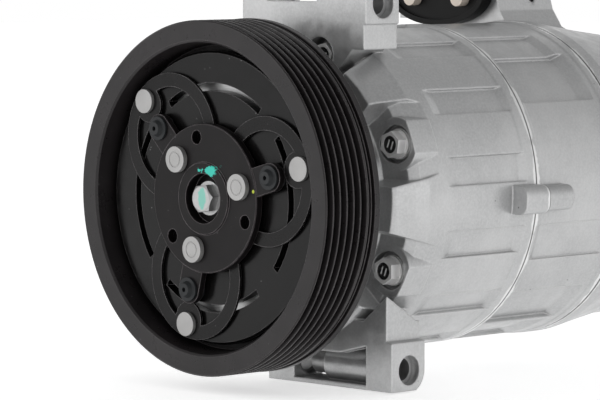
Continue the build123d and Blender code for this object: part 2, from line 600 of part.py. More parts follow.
with BuildPart() as front_housing:
    slab([(38.0, -49.0), (52.5, -49.0), (52.5, -37.0)], EAR_FRONT_S, EAR_FRONT_S + EAR_DEPTH)
    with BuildSketch(Plane.YZ.offset(30)) as slope:
        with BuildLine():
            Polyline((FRONT + EAR_FRONT_S, -37.0), (FRONT + EAR_FRONT_S + EAR_DEPTH, -48.5),
                     (FRONT + EAR_FRONT_S + EAR_DEPTH + 2, -30.0), (FRONT + EAR_FRONT_S - 2, -30.0),
                     close=True)
        make_face()
    extrude(slope.sketch, amount=30, mode=Mode.SUBTRACT)
    turned([(13.0, 10.5), (17.4, 10.5), (17.48, 10.7), (17.48, 11.9), (16.3, 11.9), (16.3, 13.5),
            (17.48, 13.5),
            (17.48, 29.55), (23.25, 29.55), (23.25, 30.05), (21.5, 30.05), (21.5, 31.5), (23.25, 31.5),
            (23.25, COIL_SEAT_S), (44.6, COIL_SEAT_S), (45.5, 46.0), (47.5, 51.5), (52.0, 53.2),
            (58.0, 54.6), (61.4, 57.5), (BARREL_R, 66.0),
            (BARREL_R, 113.4), (RING_R, 114.2), (RING_R, FRONT_SEAM_S), (CHAMBER_R, FRONT_SEAM_S),
            (CHAMBER_R, CHAMBER_S), (44.0, CHAMBER_S), (44.0, 52.0), (33.0, 52.0), (33.0, CHAMBER_S),
            (13.0, CHAMBER_S), (13.0, 42.5), (9.3, 42.5), (9.3, 34.0), (13.0, 34.0), (13.0, 25.15),
            (14.3, 25.15),
            (14.3, 23.5), (13.0, 23.5)])
    for k in range(2 * CYLINDERS):
        middle = BOLT_ANGLE + STEP / 4 + k * STEP / 2
        recess(middle - 5, middle + 5, 1.9, 69.0, 115.0, 7.0, 3.0)
    add(pads.part)
    with BuildSketch(across(53.8)) as bosses:
        with PolarLocations(BOLT_CIRCLE_R, CYLINDERS, start_angle=BOLT_ANGLE):
            Circle(10.4)
        Circle(BARREL_R + 0.6, mode=Mode.INTERSECT)
        Circle(50, mode=Mode.SUBTRACT)
    extrude(bosses.sketch, amount=-12.6)
    slab([(LOWER_EAR_X[0], -73.8), (LOWER_EAR_X[1], -73.8), (LOWER_EAR_X[1], -55.0), (52.5, -54.2),
          (52.5, -47.4),
          (40.0, -47.4), (20.0, -46.0), (LOWER_EAR_X[0], -48.0)], EAR_FRONT_S, EAR_FRONT_S + EAR_DEPTH)
    slab([(UPPER_EAR_X[0], 46.0), (20.0, 46.0), (28.0, 50.0), (34.0, 56.5), (40.2, 56.5), (40.2, 65.8),
          (UPPER_EAR_X[1], 66.4), (UPPER_EAR_X[1], 83.2), (UPPER_EAR_X[0], 83.2)],
         EAR_FRONT_S, EAR_FRONT_S + EAR_DEPTH)
    slab([(WINDOW_X[0], -72.0), (WINDOW_X[1], -72.0), (WINDOW_X[1], -57.0), (27.0, -60.5),
          (WINDOW_X[0], -60.5)],
         EAR_FRONT_S - 1, EAR_FRONT_S + EAR_DEPTH - 2, mode=Mode.SUBTRACT)
    slab([(GAP_X[0], GAP_Z), (GAP_X[1], GAP_Z), (GAP_X[1], 90.0), (GAP_X[0], 90.0)],
         EAR_FRONT_S - 1, EAR_FRONT_S + EAR_DEPTH + 1, mode=Mode.SUBTRACT)
    slab([(GAP_X[0], 66.0), (GAP_X[1], 66.0), (GAP_X[1], GAP_Z), (GAP_X[0], GAP_Z)],
         EAR_FRONT_S + 4, EAR_FRONT_S + EAR_DEPTH + 1, mode=Mode.SUBTRACT)
    round_off(LOWER_EAR_Z, -1)
    round_off(UPPER_EAR_Z, 1)
    bar_along_x(TUBE_R, TUBE_X, WINDOW_X[1], LOWER_EAR_Z)
    bar_along_x(EAR_BORE_R, -60, 80, LOWER_EAR_Z, mode=Mode.SUBTRACT)
    bar_along_x(EAR_BORE_R, -60, 80, UPPER_EAR_Z, mode=Mode.SUBTRACT)
    for angle in DOWEL_ANGLES:
        lug(angle, 106.5, FRONT_SEAM_S, 5.6, 71.6)
    rods(POCKET_R, BOLT_CIRCLE_R, CYLINDERS, BOLT_ANGLE, 40.0, POCKET_S, mode=Mode.SUBTRACT)
    rods(BOLT_HOLE_R, BOLT_CIRCLE_R, CYLINDERS, BOLT_ANGLE, POCKET_S - 1, FRONT_SEAM_S + 1,
         mode=Mode.SUBTRACT)
    for angle in DOWEL_ANGLES:
        rods(2.5, 60.5, 1, angle, FRONT_SEAM_S - 6, FRONT_SEAM_S + 1, mode=Mode.SUBTRACT)
finish(front_housing, "front_housing")

with BuildPart() as mount_sleeves:
    bar_along_x(EAR_BORE_R - 0.01, LOWER_EAR_X[0] + 2, -0.6, LOWER_EAR_Z)
    bar_along_x(4.7, 7.0, 18.5, LOWER_EAR_Z)
    bar_along_x(EAR_BORE_R - 0.01, 18.5, LOWER_EAR_X[1] - 4, LOWER_EAR_Z)
    bar_along_x(EAR_BORE_R - 0.01, UPPER_EAR_X[0] + 2, GAP_X[0] - 1, UPPER_EAR_Z)
    bar_along_x(EAR_BORE_R - 0.01, GAP_X[1] + 1, UPPER_EAR_X[1] - 4, UPPER_EAR_Z)
    bar_along_x(SLEEVE_R, -60, 80, LOWER_EAR_Z, mode=Mode.SUBTRACT)
    bar_along_x(SLEEVE_R, -60, 80, UPPER_EAR_Z, mode=Mode.SUBTRACT)
finish(mount_sleeves, "mount_sleeves")

with BuildPart() as through_bolts:
    hexes(9.0, BOLT_CIRCLE_R, CYLINDERS, BOLT_ANGLE, HEAD_FRONT_S, POCKET_S - 1.9)
    rods(5.7, BOLT_CIRCLE_R, CYLINDERS, BOLT_ANGLE, POCKET_S - 1.9, POCKET_S - 0.9)
    rods(3.0, BOLT_CIRCLE_R, CYLINDERS, BOLT_ANGLE, POCKET_S - 0.9, 194.0)
    rods(3.4, BOLT_CIRCLE_R, CYLINDERS, BOLT_ANGLE, HEAD_FRONT_S - 1, HEAD_FRONT_S + 0.8, mode=Mode.SUBTRACT)
finish(through_bolts, "through_bolts")

with BuildPart() as bolt_washers:
    rods(5.95, BOLT_CIRCLE_R, CYLINDERS, BOLT_ANGLE, POCKET_S - 0.9, POCKET_S)
    rods(3.2, BOLT_CIRCLE_R, CYLINDERS, BOLT_ANGLE, POCKET_S - 1, POCKET_S + 1, mode=Mode.SUBTRACT)
finish(bolt_washers, "bolt_washers")

with BuildPart() as dowel_pins:
    for angle in DOWEL_ANGLES:
        rods(2.48, 60.5, 1, angle, FRONT_SEAM_S - 5.8, FRONT_SEAM_S + 5.8)
finish(dowel_pins, "dowel_pins")

with BuildPart() as front_o_ring:
    with BuildSketch(Plane.XY) as cord:
        with Locations((51.8, FRONT + FRONT_SEAM_S + 0.96)):
            Circle(0.95)
    revolve(cord.sketch, axis=Axis.Y)
finish(front_o_ring, "front_o_ring")

# ---- cylinder block ----
BLOCK_S = 132.0                     # front face of the cylinders

with BuildPart() as cylinder_block:
    turned([(0, BLOCK_S), (CHAMBER_R, BLOCK_S), (CHAMBER_R, FRONT_SEAM_S), (RING_R, FRONT_SEAM_S),
            (RING_R, 122.5),
            (BARREL_R, 123.5), (BARREL_R, 168.0), (RING_R, 169.0), (RING_R, REAR_SEAM_S),
            (0, REAR_SEAM_S)])
    recess(32.5, 54.6, 3.4, 122.0, 166.0, 3.0, 6.0)
    recess(54.6, 68.0, 1.8, 122.0, 162.5, 3.0, 6.0)
    recess(-25.5, -12.0, 1.3, 122.0, 167.0, 3.0, 3.0)
    recess(-58.8, -39.5, 2.4, 122.0, 166.0, 3.0, 6.0)
    recess(-80.0, -60.2, 2.4, 122.0, 162.0, 3.0, 7.0)
    for low in (100.0, 126.0, 160.0, 186.0, 220.0, 246.0):
        recess(low, low + 18, 2.0, 122.0, 164.0, 3.0, 5.0)
    for angle in DOWEL_ANGLES:
        lug(angle, FRONT_SEAM_S, 135.0, 5.0, 70.6)
    rods(BORE_R, CYLINDER_CIRCLE_R, CYLINDERS, CYLINDER_ANGLE, FRONT_SEAM_S + 2.8, REAR_SEAM_S + 1,
         mode=Mode.SUBTRACT)
    ring(0, GEAR_STEM_R + 0.01, BLOCK_S - 1, CENTRE_S + 40.2, mode=Mode.SUBTRACT)
    ring(0, 6.0, CENTRE_S + 39, REAR_SEAM_S + 1, mode=Mode.SUBTRACT)
    ring(50.7, 52.9, FRONT_SEAM_S - 1, FRONT_SEAM_S + 1.95, mode=Mode.SUBTRACT)
    rods(BOLT_HOLE_R, BOLT_CIRCLE_R, CYLINDERS, BOLT_ANGLE, FRONT_SEAM_S - 1, REAR_SEAM_S + 1,
         mode=Mode.SUBTRACT)
    for angle in DOWEL_ANGLES:
        rods(2.5, 60.5, 1, angle, FRONT_SEAM_S - 1, FRONT_SEAM_S + 6, mode=Mode.SUBTRACT)
finish(cylinder_block, "cylinder_block")

with BuildPart() as adjusting_screw:
    ring(0, 5.98, CENTRE_S + 40.2, CENTRE_S + 52)
    hexes(6, 0, 1, 0, CENTRE_S + 46, CENTRE_S + 53, mode=Mode.SUBTRACT)
finish(adjusting_screw, "adjusting_screw")

# ---- valve plate stack ----
PLATE_R = 52.4
DISCHARGE_CIRCLE_R = 26.5
SUCTION_CIRCLE_R = 43.0

with BuildPart() as suction_reed:
    ring(0, PLATE_R, REAR_SEAM_S + 0.02, REAR_SEAM_S + 0.42)
    rods(3.4, DISCHARGE_CIRCLE_R, CYLINDERS, CYLINDER_ANGLE, REAR_SEAM_S - 1, REAR_SEAM_S + 1,
         mode=Mode.SUBTRACT)
    with BuildSketch(across(REAR_SEAM_S - 1)) as tongue_cuts:
        with PolarLocations(SUCTION_CIRCLE_R - 2, CYLINDERS, start_angle=CYLINDER_ANGLE):
            with Locations((0, 5.2), (0, -5.2)):
                Rectangle(16, 0.8)
        with PolarLocations(SUCTION_CIRCLE_R + 6, CYLINDERS, start_angle=CYLINDER_ANGLE):
            Rectangle(0.8, 11)
    extrude(tongue_cuts.sketch, amount=-2, mode=Mode.SUBTRACT)
finish(suction_reed, "suction_reed")

with BuildPart() as valve_plate:
    ring(0, PLATE_R, REAR_SEAM_S + 0.44, REAR_SEAM_S + 3.9)
    rods(3.0, DISCHARGE_CIRCLE_R, CYLINDERS, CYLINDER_ANGLE, REAR_SEAM_S - 1, REAR_SEAM_S + 5,
         mode=Mode.SUBTRACT)
    rods(3.4, SUCTION_CIRCLE_R, CYLINDERS, CYLINDER_ANGLE, REAR_SEAM_S - 1, REAR_SEAM_S + 5,
         mode=Mode.SUBTRACT)
finish(valve_plate, "valve_plate")


def star(reach, width, start, end):
    """A seven-fingered disc over the discharge holes."""
    with BuildSketch(across(start)) as fingers:
        Circle(15)
        with PolarLocations(reach / 2, CYLINDERS, start_angle=CYLINDER_ANGLE):
            Rectangle(reach, width)
    extrude(fingers.sketch, amount=-(end - start))


with BuildPart() as discharge_reed:
    star(29.8, 8.0, REAR_SEAM_S + 3.9, REAR_SEAM_S + 4.3)
finish(discharge_reed, "discharge_reed")

with BuildPart() as reed_retainer:
    star(29.6, 6.6, REAR_SEAM_S + 4.3, REAR_SEAM_S + 6.0)
finish(reed_retainer, "reed_retainer")

with BuildPart() as head_gasket:
    ring(53.6, 64.2, REAR_SEAM_S + 0.02, REAR_SEAM_S + 0.48)
    rods(BOLT_HOLE_R, BOLT_CIRCLE_R, CYLINDERS, BOLT_ANGLE, REAR_SEAM_S - 1, REAR_SEAM_S + 1,
         mode=Mode.SUBTRACT)
finish(head_gasket, "head_gasket")

# ---- rear head and the parts on it ----
PORT_BLOCK_S = (176.0, 209.0)
PORT_Z = 73.5
SUCTION_X, SUCTION_PORT_R = -50.6, 8.0
DISCHARGE_X, DISCHARGE_PORT_R = -23.6, 6.5


def post(x, station, radius, bottom, top, mode=Mode.ADD):
    """A vertical round bar."""
    with BuildSketch(Plane.XY.offset(bottom)) as circle:
        with Locations((x, FRONT + station)):
            Circle(radius)
    extrude(circle.sketch, amount=top - bottom, mode=mode)


with BuildPart() as rear_head:
    face = REAR_SEAM_S + 0.5
    turned([(0, REAR_SEAM_S + 3.95), (52.6, REAR_SEAM_S + 3.95), (52.6, face), (64.4, face), (64.4, 180.0),
            (62.8, 190.0),
            (60.4, 206.0), (58.4, 222.0), (54.0, 230.5), (46.0, 235.5), (30.0, REAR_S), (0, REAR_S)])
    ring(33.0, 50.0, REAR_SEAM_S + 3, 222.0, mode=Mode.SUBTRACT)
    ring(0, 30.5, REAR_SEAM_S + 3, 228.0, mode=Mode.SUBTRACT)
    with BuildSketch(across(PORT_BLOCK_S[0])) as block:
        with BuildLine():
            Polyline((-64.0, 64.5), (-64.0, 92.0), (-9.5, 92.0), (-9.0, 75.0), (-7.0, 68.5), (-2.0, 61.5),
                     (5.0, 58.3),
                     (12.0, 56.0), (0.0, 50.0), (-34.0, 46.0), (-33.0, 55.0), (-37.0, 61.5), (-42.0, 64.5),
                     close=True)
        make_face()
        Circle(56.0, mode=Mode.SUBTRACT)
    extrude(block.sketch, amount=-(PORT_BLOCK_S[1] - PORT_BLOCK_S[0]))
    post(DISCHARGE_X, 184.8, 5.6, 20.0, 52.0)
    for port_x, port_r, depth in ((SUCTION_X, SUCTION_PORT_R, 26), (DISCHARGE_X, DISCHARGE_PORT_R, 11)):
        with BuildSketch(across(PORT_BLOCK_S[0] - 1)) as port:
            with Locations((port_x, PORT_Z)):
                Circle(port_r)
        extrude(port.sketch, amount=-depth, mode=Mode.SUBTRACT)
    post(DISCHARGE_X, 184.8, 3.8, 12.0, PORT_Z, mode=Mode.SUBTRACT)
    post(-12.0, 197.0, 4.0, 40.0, PORT_Z, mode=Mode.SUBTRACT)
    with BuildSketch(Plane.YZ.offset(SUCTION_X)) as link:
        with Locations((FRONT + 197.0, PORT_Z)):
            Circle(4.0)
    extrude(link.sketch, amount=-12.0 - SUCTION_X, mode=Mode.SUBTRACT)
    rods(6.0, 53.6, CYLINDERS, BOLT_ANGLE, 190.0, 222.0)
    rods(3.0, BOLT_CIRCLE_R, CYLINDERS, BOLT_ANGLE, face - 1, 195.0, mode=Mode.SUBTRACT)
    with Locations(Plane(origin=(0, FRONT + REAR_S, -22), x_dir=(1, 0, 0), z_dir=(0, 1, 0))):
        Cylinder(9.0, 4.0)
        Cylinder(5.02, 40.0, mode=Mode.SUBTRACT)
finish(rear_head, "rear_head")

with BuildPart() as relief_valve:
    with BuildSketch(Plane(origin=(0, FRONT + REAR_S + 2.0, -22), x_dir=(1, 0, 0),
                           z_dir=(0, 1, 0))) as valve_hex:
        RegularPolygon(7.0, 6, major_radius=False)
    extrude(valve_hex.sketch, amount=5.0)
    with BuildSketch(Plane(origin=(0, FRONT + REAR_S - 20, -22), x_dir=(1, 0, 0), z_dir=(0, 1, 0))) as stem:
        Circle(5.0)
    extrude(stem.sketch, amount=28.5)
    with BuildSketch(Plane(origin=(0, FRONT + REAR_S + 8.6, -22), x_dir=(1, 0, 0), z_dir=(0, 1, 0))) as vent:
        Circle(2.2)
    extrude(vent.sketch, amount=-6, mode=Mode.SUBTRACT)
finish(relief_valve, "relief_valve")

CAP_X = -38.0
CAP_Z = 75.5
CAP_S = (170.2, 175.95)

with BuildPart() as port_cap:
    with BuildSketch(across(CAP_S[0])) as oval:
        with Locations((CAP_X, CAP_Z)):
            Ellipse(27.0, 13.6)
        with Locations((SUCTION_X, PORT_Z), (DISCHARGE_X, PORT_Z)):
            Circle(3.5, mode=Mode.SUBTRACT)
    extrude(oval.sketch, amount=-(CAP_S[1] - CAP_S[0]))
    with BuildSketch(across(CAP_S[0])) as dish:
        with Locations((CAP_X, CAP_Z)):
            Ellipse(24.6, 11.2)
    extrude(dish.sketch, amount=-1.4, mode=Mode.SUBTRACT)
finish(port_cap, "port_cap")

with BuildPart() as port_plugs:
    with BuildSketch(across(167.4)) as pins:
        with Locations((SUCTION_X, PORT_Z), (DISCHARGE_X, PORT_Z)):
            Circle(3.4)
    extrude(pins.sketch, amount=-9.0)
    for port_x, port_r in ((SUCTION_X, SUCTION_PORT_R), (DISCHARGE_X, DISCHARGE_PORT_R)):
        with BuildSketch(across(PORT_BLOCK_S[0] + 0.1)) as plug:
            with Locations((port_x, PORT_Z)):
                Circle(port_r - 0.02)
        extrude(plug.sketch, amount=-9.0)
finish(port_plugs, "port_plugs")
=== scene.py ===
"""Looks, lights and camera for the air conditioning compressor."""
from math import cos, pi, radians, sin

import bpy
from mathutils import Matrix, Vector


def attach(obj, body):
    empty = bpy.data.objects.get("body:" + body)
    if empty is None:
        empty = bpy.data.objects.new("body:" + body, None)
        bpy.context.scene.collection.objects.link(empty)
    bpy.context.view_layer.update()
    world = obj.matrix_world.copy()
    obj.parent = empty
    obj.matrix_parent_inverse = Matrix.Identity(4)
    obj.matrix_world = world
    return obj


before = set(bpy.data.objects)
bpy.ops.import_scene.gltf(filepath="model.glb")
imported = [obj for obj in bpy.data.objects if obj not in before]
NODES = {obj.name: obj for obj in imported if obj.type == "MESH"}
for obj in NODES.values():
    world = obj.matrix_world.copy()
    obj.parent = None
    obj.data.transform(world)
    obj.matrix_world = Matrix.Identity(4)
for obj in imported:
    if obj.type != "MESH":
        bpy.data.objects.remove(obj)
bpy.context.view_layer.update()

MM = 0.001
FRONT = -10.68                      # pulley's front face on the Y axis, in mm
BOLT_ANGLE = 21.8
BOLT_CIRCLE = 56.0
BOLTS = 7
FRONT_SEAM = 120.0                  # joints of the body, in mm behind the pulley's front face
REAR_SEAM = 173.0


# ---------------------------------------------------------------- node helpers
class Shader:
    """One node material under construction."""

    def __init__(self, name):
        self.material = bpy.data.materials.new(name)
        self.material.use_nodes = True
        self.tree = self.material.node_tree
        self.tree.nodes.clear()
        self.output = self.add("ShaderNodeOutputMaterial")
        self.surface = self.add("ShaderNodeBsdfPrincipled")
        self.tree.links.new(self.surface.outputs["BSDF"], self.output.inputs["Surface"])
        self.place = self.add("ShaderNodeTexCoord").outputs["Object"]

    @classmethod
    def reopen(cls, material):
        """Go on building a finished material."""
        shader = cls.__new__(cls)
        shader.material = material
        shader.tree = material.node_tree
        shader.place = next(n for n in shader.tree.nodes if n.type == "TEX_COORD").outputs["Object"]
        shader.surface = next(n for n in shader.tree.nodes if n.type == "BSDF_PRINCIPLED")
        return shader

    def add(self, kind, **settings):
        node = self.tree.nodes.new(kind)
        for key, value in settings.items():
            setattr(node, key, value)
        return node

    def put(self, socket, value):
        """Feed a socket from another socket or from a plain value."""
        if isinstance(value, bpy.types.NodeSocket):
            self.tree.links.new(value, socket)
        else:
            socket.default_value = value

    def feed(self, name):
        """What feeds a surface input now: a socket, or its plain value."""
        socket = self.surface.inputs[name]
        return socket.links[0].from_socket if socket.links else socket.default_value

    def math(self, operation, a, b=0.0):
        node = self.add("ShaderNodeMath", operation=operation)
        for socket, value in zip(node.inputs, (a, b)):
            self.put(socket, value)
        return node.outputs[0]

    def vector(self, operation, a, b):
        node = self.add("ShaderNodeVectorMath", operation=operation)
        self.put(node.inputs[0], a)
        self.put(node.inputs[1], b)
        gives_number = operation in ("LENGTH", "DOT_PRODUCT")
        return node.outputs["Value" if gives_number else "Vector"]

    def noise(self, size, detail=3.0, rough=0.55):
        """Noise whose blobs are about size metres across."""
        node = self.add("ShaderNodeTexNoise")
        self.put(node.inputs["Vector"], self.place)
        node.inputs["Scale"].default_value = 1.0 / size
        node.inputs["Detail"].default_value = detail
        node.inputs["Roughness"].default_value = rough
        return node.outputs["Fac"]

    def cells(self, size):
        """Distance to the nearest of scattered points, in units of size metres."""
        node = self.add("ShaderNodeTexVoronoi")
        self.put(node.inputs["Vector"], self.place)
        node.inputs["Scale"].default_value = 1.0 / size
        return node.outputs["Distance"]

    def ramp(self, value, low, high, out_low=0.0, out_high=1.0):
        node = self.add("ShaderNodeMapRange", interpolation_type="SMOOTHSTEP")
        limits = {"From Min": low, "From Max": high, "To Min": out_low, "To Max": out_high}
        for name, number in limits.items():
            node.inputs[name].default_value = number
        self.put(node.inputs["Value"], value)
        return node.outputs["Result"]

    def mix(self, amount, a, b):
        """Blend two colours."""
        node = self.add("ShaderNodeMix", data_type="RGBA")
        self.put(node.inputs["Factor"], amount)
        self.put(node.inputs["A"], a)
        self.put(node.inputs["B"], b)
        return node.outputs["Result"]

    def edge(self, radius):
        """1 on sharp edges and 0 on flat faces, from how far a rounded edge would turn the surface."""
        bevel = self.add("ShaderNodeBevel", samples=4)
        bevel.inputs["Radius"].default_value = radius
        geometry = self.add("ShaderNodeNewGeometry")
        along = self.vector("DOT_PRODUCT", bevel.outputs["Normal"], geometry.outputs["Normal"])
        return self.ramp(along, 0.995, 0.80), bevel.outputs["Normal"]

    def open_sky(self, distance):
        """1 on open faces, towards 0 in grooves and corners up to distance deep."""
        node = self.add("ShaderNodeAmbientOcclusion", samples=6)
        node.inputs["Distance"].default_value = distance
        return self.ramp(node.outputs["AO"], 0.15, 0.85)

    def bump(self, height, distance, strength, normal=None):
        node = self.add("ShaderNodeBump")
        node.inputs["Distance"].default_value = distance
        node.inputs["Strength"].default_value = strength
        self.put(node.inputs["Height"], height)
        if normal is not None:
            self.put(node.inputs["Normal"], normal)
        return node.outputs["Normal"]

    def patch(self, centre, size, ragged=0.4):
        """A soft-edged blot round a point of the object. Centre and size are in metres."""
        offset = self.vector("SUBTRACT", self.place, centre)
        scaled = self.vector("DIVIDE", offset, size)
        reach = self.vector("LENGTH", scaled, (0, 0, 0))
        cloud = self.math("SUBTRACT", self.noise(size[0] * 0.8, 4.0, 0.7), 0.5)
        wobble = self.math("MULTIPLY", cloud, ragged * 4)
        return self.ramp(self.math("ADD", reach, wobble), 1.02, 0.92)

    def finish(self, colour, rough, metallic=0.0, normal=None, **extra):
        self.put(self.surface.inputs["Base Color"], colour)
        self.put(self.surface.inputs["Roughness"], rough)
        self.put(self.surface.inputs["Metallic"], metallic)
        if normal is not None:
            self.put(self.surface.inputs["Normal"], normal)
        for name, value in extra.items():
            self.put(self.surface.inputs[name], value)
        return self.material


def grey(value, warm=0.0):
    """A grey of linear value, leaning to red when warm is above 0."""
    return (value * (1 + warm), value, value * (1 - warm), 1.0)


def rosy(value, warm):
    """A grey that leans to red and a little to blue, like old black coating."""
    return (value * (1 + warm), value * (1 - 0.5 * warm), value, 1.0)


# ---------------------------------------------------------------- materials
def cast_paint(name, tint, seams):
    """Silver paint over cast aluminium: grain, soft stains, dark pits, bare rims at the body joints,
    painted shade in the corners and a painted highlight on the edges.
    """
    s = Shader(name)
    edge, rounded = s.edge(0.0011)
    stain = s.ramp(s.noise(0.035, 4.0, 0.6), 0.35, 0.7)
    colour = s.mix(stain, grey(0.46 * tint, -0.008), grey(0.55 * tint, -0.004))
    grain = s.noise(0.0009, 2.0, 0.6)
    colour = s.mix(s.ramp(grain, 0.30, 0.75, 0.0, 0.35), colour, grey(0.68 * tint))
    # painted shade: the colour darkens in corners and recesses
    painted_corner_shade = s.math("SUBTRACT", 1.0, s.open_sky(0.005))
    colour = s.mix(s.math("MULTIPLY", painted_corner_shade, 0.6), colour, grey(0.20 * tint))
    # painted highlight: the colour lightens on the edges
    colour = s.mix(s.math("MULTIPLY", edge, 0.60), colour, grey(0.85 * tint))
    where = s.ramp(s.noise(0.02, 2.0), 0.60, 0.66)
    pits = s.math("MULTIPLY", s.ramp(s.cells(0.0045), 0.10, 0.04), where)
    colour = s.mix(s.math("MULTIPLY", pits, 0.8), colour, grey(0.10))
    parts = s.add("ShaderNodeSeparateXYZ")
    s.put(parts.inputs[0], s.place)
    wander = s.math("MULTIPLY", s.math("SUBTRACT", s.noise(0.012, 3.0, 0.6), 0.5), 0.006)
    for station in seams:
        away = s.math("ABSOLUTE", s.math("SUBTRACT", parts.outputs["Y"], (FRONT + station) * MM))
        rim = s.ramp(s.math("ADD", away, wander), 0.0016, 0.0008, 0.0, 0.75)
        colour = s.mix(rim, colour, grey(0.88))
        colour = s.mix(s.ramp(away, 0.0005, 0.0002, 0.0, 0.85), colour, grey(0.05))
    height = s.math("ADD", s.math("MULTIPLY", grain, 0.6), s.math("MULTIPLY", s.noise(0.0025, 3.0), 0.8))
    height = s.math("SUBTRACT", height, s.math("MULTIPLY", pits, 1.5))
    rough = s.ramp(s.noise(0.006, 3.0), 0.3, 0.7, 0.29, 0.42)
    return s.finish(colour, rough, 0.74, s.bump(height, 0.00009, 0.5, rounded))


def black_coat(name, base, warm, rough, edge_tone, dust, shine, shade):
    """Thin dark coat on steel with some dust, lighter on the edges from wear and a painted highlight, and
    with painted shade that darkens and dulls the corners.

    shine is the gloss on open faces, and shade is how much colour and gloss the painted shade leaves in the
    corners.
    """
    s = Shader(name)
    edge, rounded = s.edge(0.0005)
    cloud = s.ramp(s.noise(0.018, 5.0, 0.65), 0.35, 0.7)
    colour = s.mix(cloud, rosy(base * 0.8, warm), rosy(base * 1.2, warm))
    # painted shade: corners get darker colour and less gloss
    painted_lit_share = s.math("ADD", s.math("MULTIPLY", s.open_sky(0.006), 1 - shade), shade)
    colour = s.mix(painted_lit_share, rosy(base * 0.3, warm), colour)
    where = s.ramp(s.noise(0.009, 2.0), 0.52, 0.60)
    specks = s.math("MULTIPLY", s.ramp(s.cells(0.0035), 0.09, 0.04), where)
    colour = s.mix(s.math("MULTIPLY", specks, dust), colour, grey(0.35))
    # edge wear and painted highlight: the colour lightens on the edges
    wear_and_highlight = s.math("MULTIPLY", edge, s.ramp(s.noise(0.004, 4.0, 0.7), 0.25, 0.75, 0.35, 1.0))
    colour = s.mix(wear_and_highlight, colour, rosy(edge_tone, warm * 0.6))
    fine = s.noise(0.0006, 2.0)
    roughness = s.ramp(s.noise(0.010, 4.0, 0.7), 0.3, 0.7, rough - 0.05, rough + 0.07)
    gloss = s.math("MULTIPLY", painted_lit_share, shine)
    return s.finish(colour, roughness, 0.0, s.bump(fine, 0.00003, 0.35, rounded),
                    **{"Specular IOR Level": gloss})


def ground_face(material, start, end, radius):
    """Bare ground steel on a turned piece, between two stations and inside a radius, in mm."""
    s = Shader.reopen(material)
    parts = s.add("ShaderNodeSeparateXYZ")
    s.put(parts.inputs[0], s.place)
    reach = s.vector("LENGTH", s.vector("MULTIPLY", s.place, (1.0, 0.0, 1.0)), (0, 0, 0))
    behind = s.math("GREATER_THAN", parts.outputs["Y"], (FRONT + start) * MM)
    before = s.math("LESS_THAN", parts.outputs["Y"], (FRONT + end) * MM)
    inside = s.math("LESS_THAN", reach, radius * MM)
    mask = s.math("MULTIPLY", s.math("MULTIPLY", behind, before), inside)
    rings = s.add("ShaderNodeTexNoise", noise_dimensions="1D")
    s.put(rings.inputs["W"], reach)
    rings.inputs["Scale"].default_value = 4000.0
    tone = s.mix(rings.outputs["Fac"], grey(0.42), grey(0.66))
    s.put(s.surface.inputs["Base Color"], s.mix(mask, s.feed("Base Color"), tone))
    for name, value in (("Metallic", 0.85), ("Roughness", 0.34)):
        blend = s.add("ShaderNodeMix", data_type="FLOAT")
        for index, part in ((0, mask), (2, s.feed(name)), (3, value)):
            s.put(blend.inputs[index], part)
        s.put(s.surface.inputs[name], blend.outputs[0])


def bare_metal(name, base, rough, metallic=1.0, warm=0.0, grain=0.0012, marks=0.25):
    """Machined or plated metal with faint blotches, handling marks and a painted highlight on the edges."""
    s = Shader(name)
    edge, rounded = s.edge(0.0003)
    blotch = s.ramp(s.noise(0.006, 4.0, 0.65), 0.3, 0.75)
    colour = s.mix(blotch, grey(base * 0.86, warm), grey(base, warm))
    # painted highlight: the colour lightens on the edges
    colour = s.mix(s.math("MULTIPLY", edge, 0.5), colour, grey(min(base * 1.25, 0.95), warm))
    dark = s.ramp(s.noise(grain * 2.5, 4.0, 0.75), 0.62, 0.78, 0.0, marks)
    colour = s.mix(dark, colour, grey(base * 0.45, warm))
    roughness = s.ramp(s.noise(0.003, 4.0, 0.7), 0.3, 0.7, rough - 0.06, rough + 0.10)
    return s.finish(colour, roughness, metallic, s.bump(s.noise(grain, 3.0), 0.00004, 0.4, rounded))


def plastic(name, base, rough, warm=0.0, shine=0.5):
    """Moulded plastic or rubber with a fine grain and a painted highlight on the edges."""
    s = Shader(name)
    edge, rounded = s.edge(0.0004)
    colour = s.mix(s.noise(0.008, 3.0), grey(base * 0.85, warm), grey(base * 1.15, warm))
    # painted highlight: the colour lightens on the edges
    colour = s.mix(s.math("MULTIPLY", edge, 0.4), colour, grey(min(base * 1.6 + 0.02, 0.9), warm))
    roughness = s.ramp(s.noise(0.004, 3.0), 0.3, 0.7, rough - 0.06, rough + 0.06)
    return s.finish(colour, roughness, 0.0, s.bump(s.noise(0.0008, 2.0), 0.00004, 0.4, rounded),
                    **{"Specular IOR Level": shine})


def coloured(name, colour, rough, metallic):
    """A tinted metal or resin."""
    s = Shader(name)
    dark = tuple(c * 0.7 for c in colour[:3]) + (1.0,)
    blend = s.mix(s.ramp(s.noise(0.007, 4.0, 0.65), 0.3, 0.7), dark, colour)
    roughness = s.ramp(s.noise(0.003, 4.0, 0.7), 0.3, 0.7, rough - 0.05, rough + 0.08)
    return s.finish(blend, roughness, metallic, s.bump(s.noise(0.001, 3.0), 0.00004, 0.4))


def dab(material, colour, place, size, ragged):
    """A dab of marking paint over a finished material.

    Place is (X, mm behind the pulley's front face, Z) and size is its half lengths on X, Y and Z, in mm.
    """
    s = Shader.reopen(material)
    x, station, z = place
    mask = s.patch(Vector((x, FRONT + station, z)) * MM, tuple(length * MM for length in size), ragged)
    s.put(s.surface.inputs["Base Color"], s.mix(mask, s.feed("Base Color"), colour))
    unpainted = s.math("SUBTRACT", 1.0, mask)
    s.put(s.surface.inputs["Metallic"], s.math("MULTIPLY", unpainted, s.feed("Metallic")))


TURQUOISE = (0.05, 0.52, 0.42, 1.0)
PALE_TURQUOISE = (0.20, 0.50, 0.42, 1.0)
YELLOW = (0.45, 0.52, 0.06, 1.0)

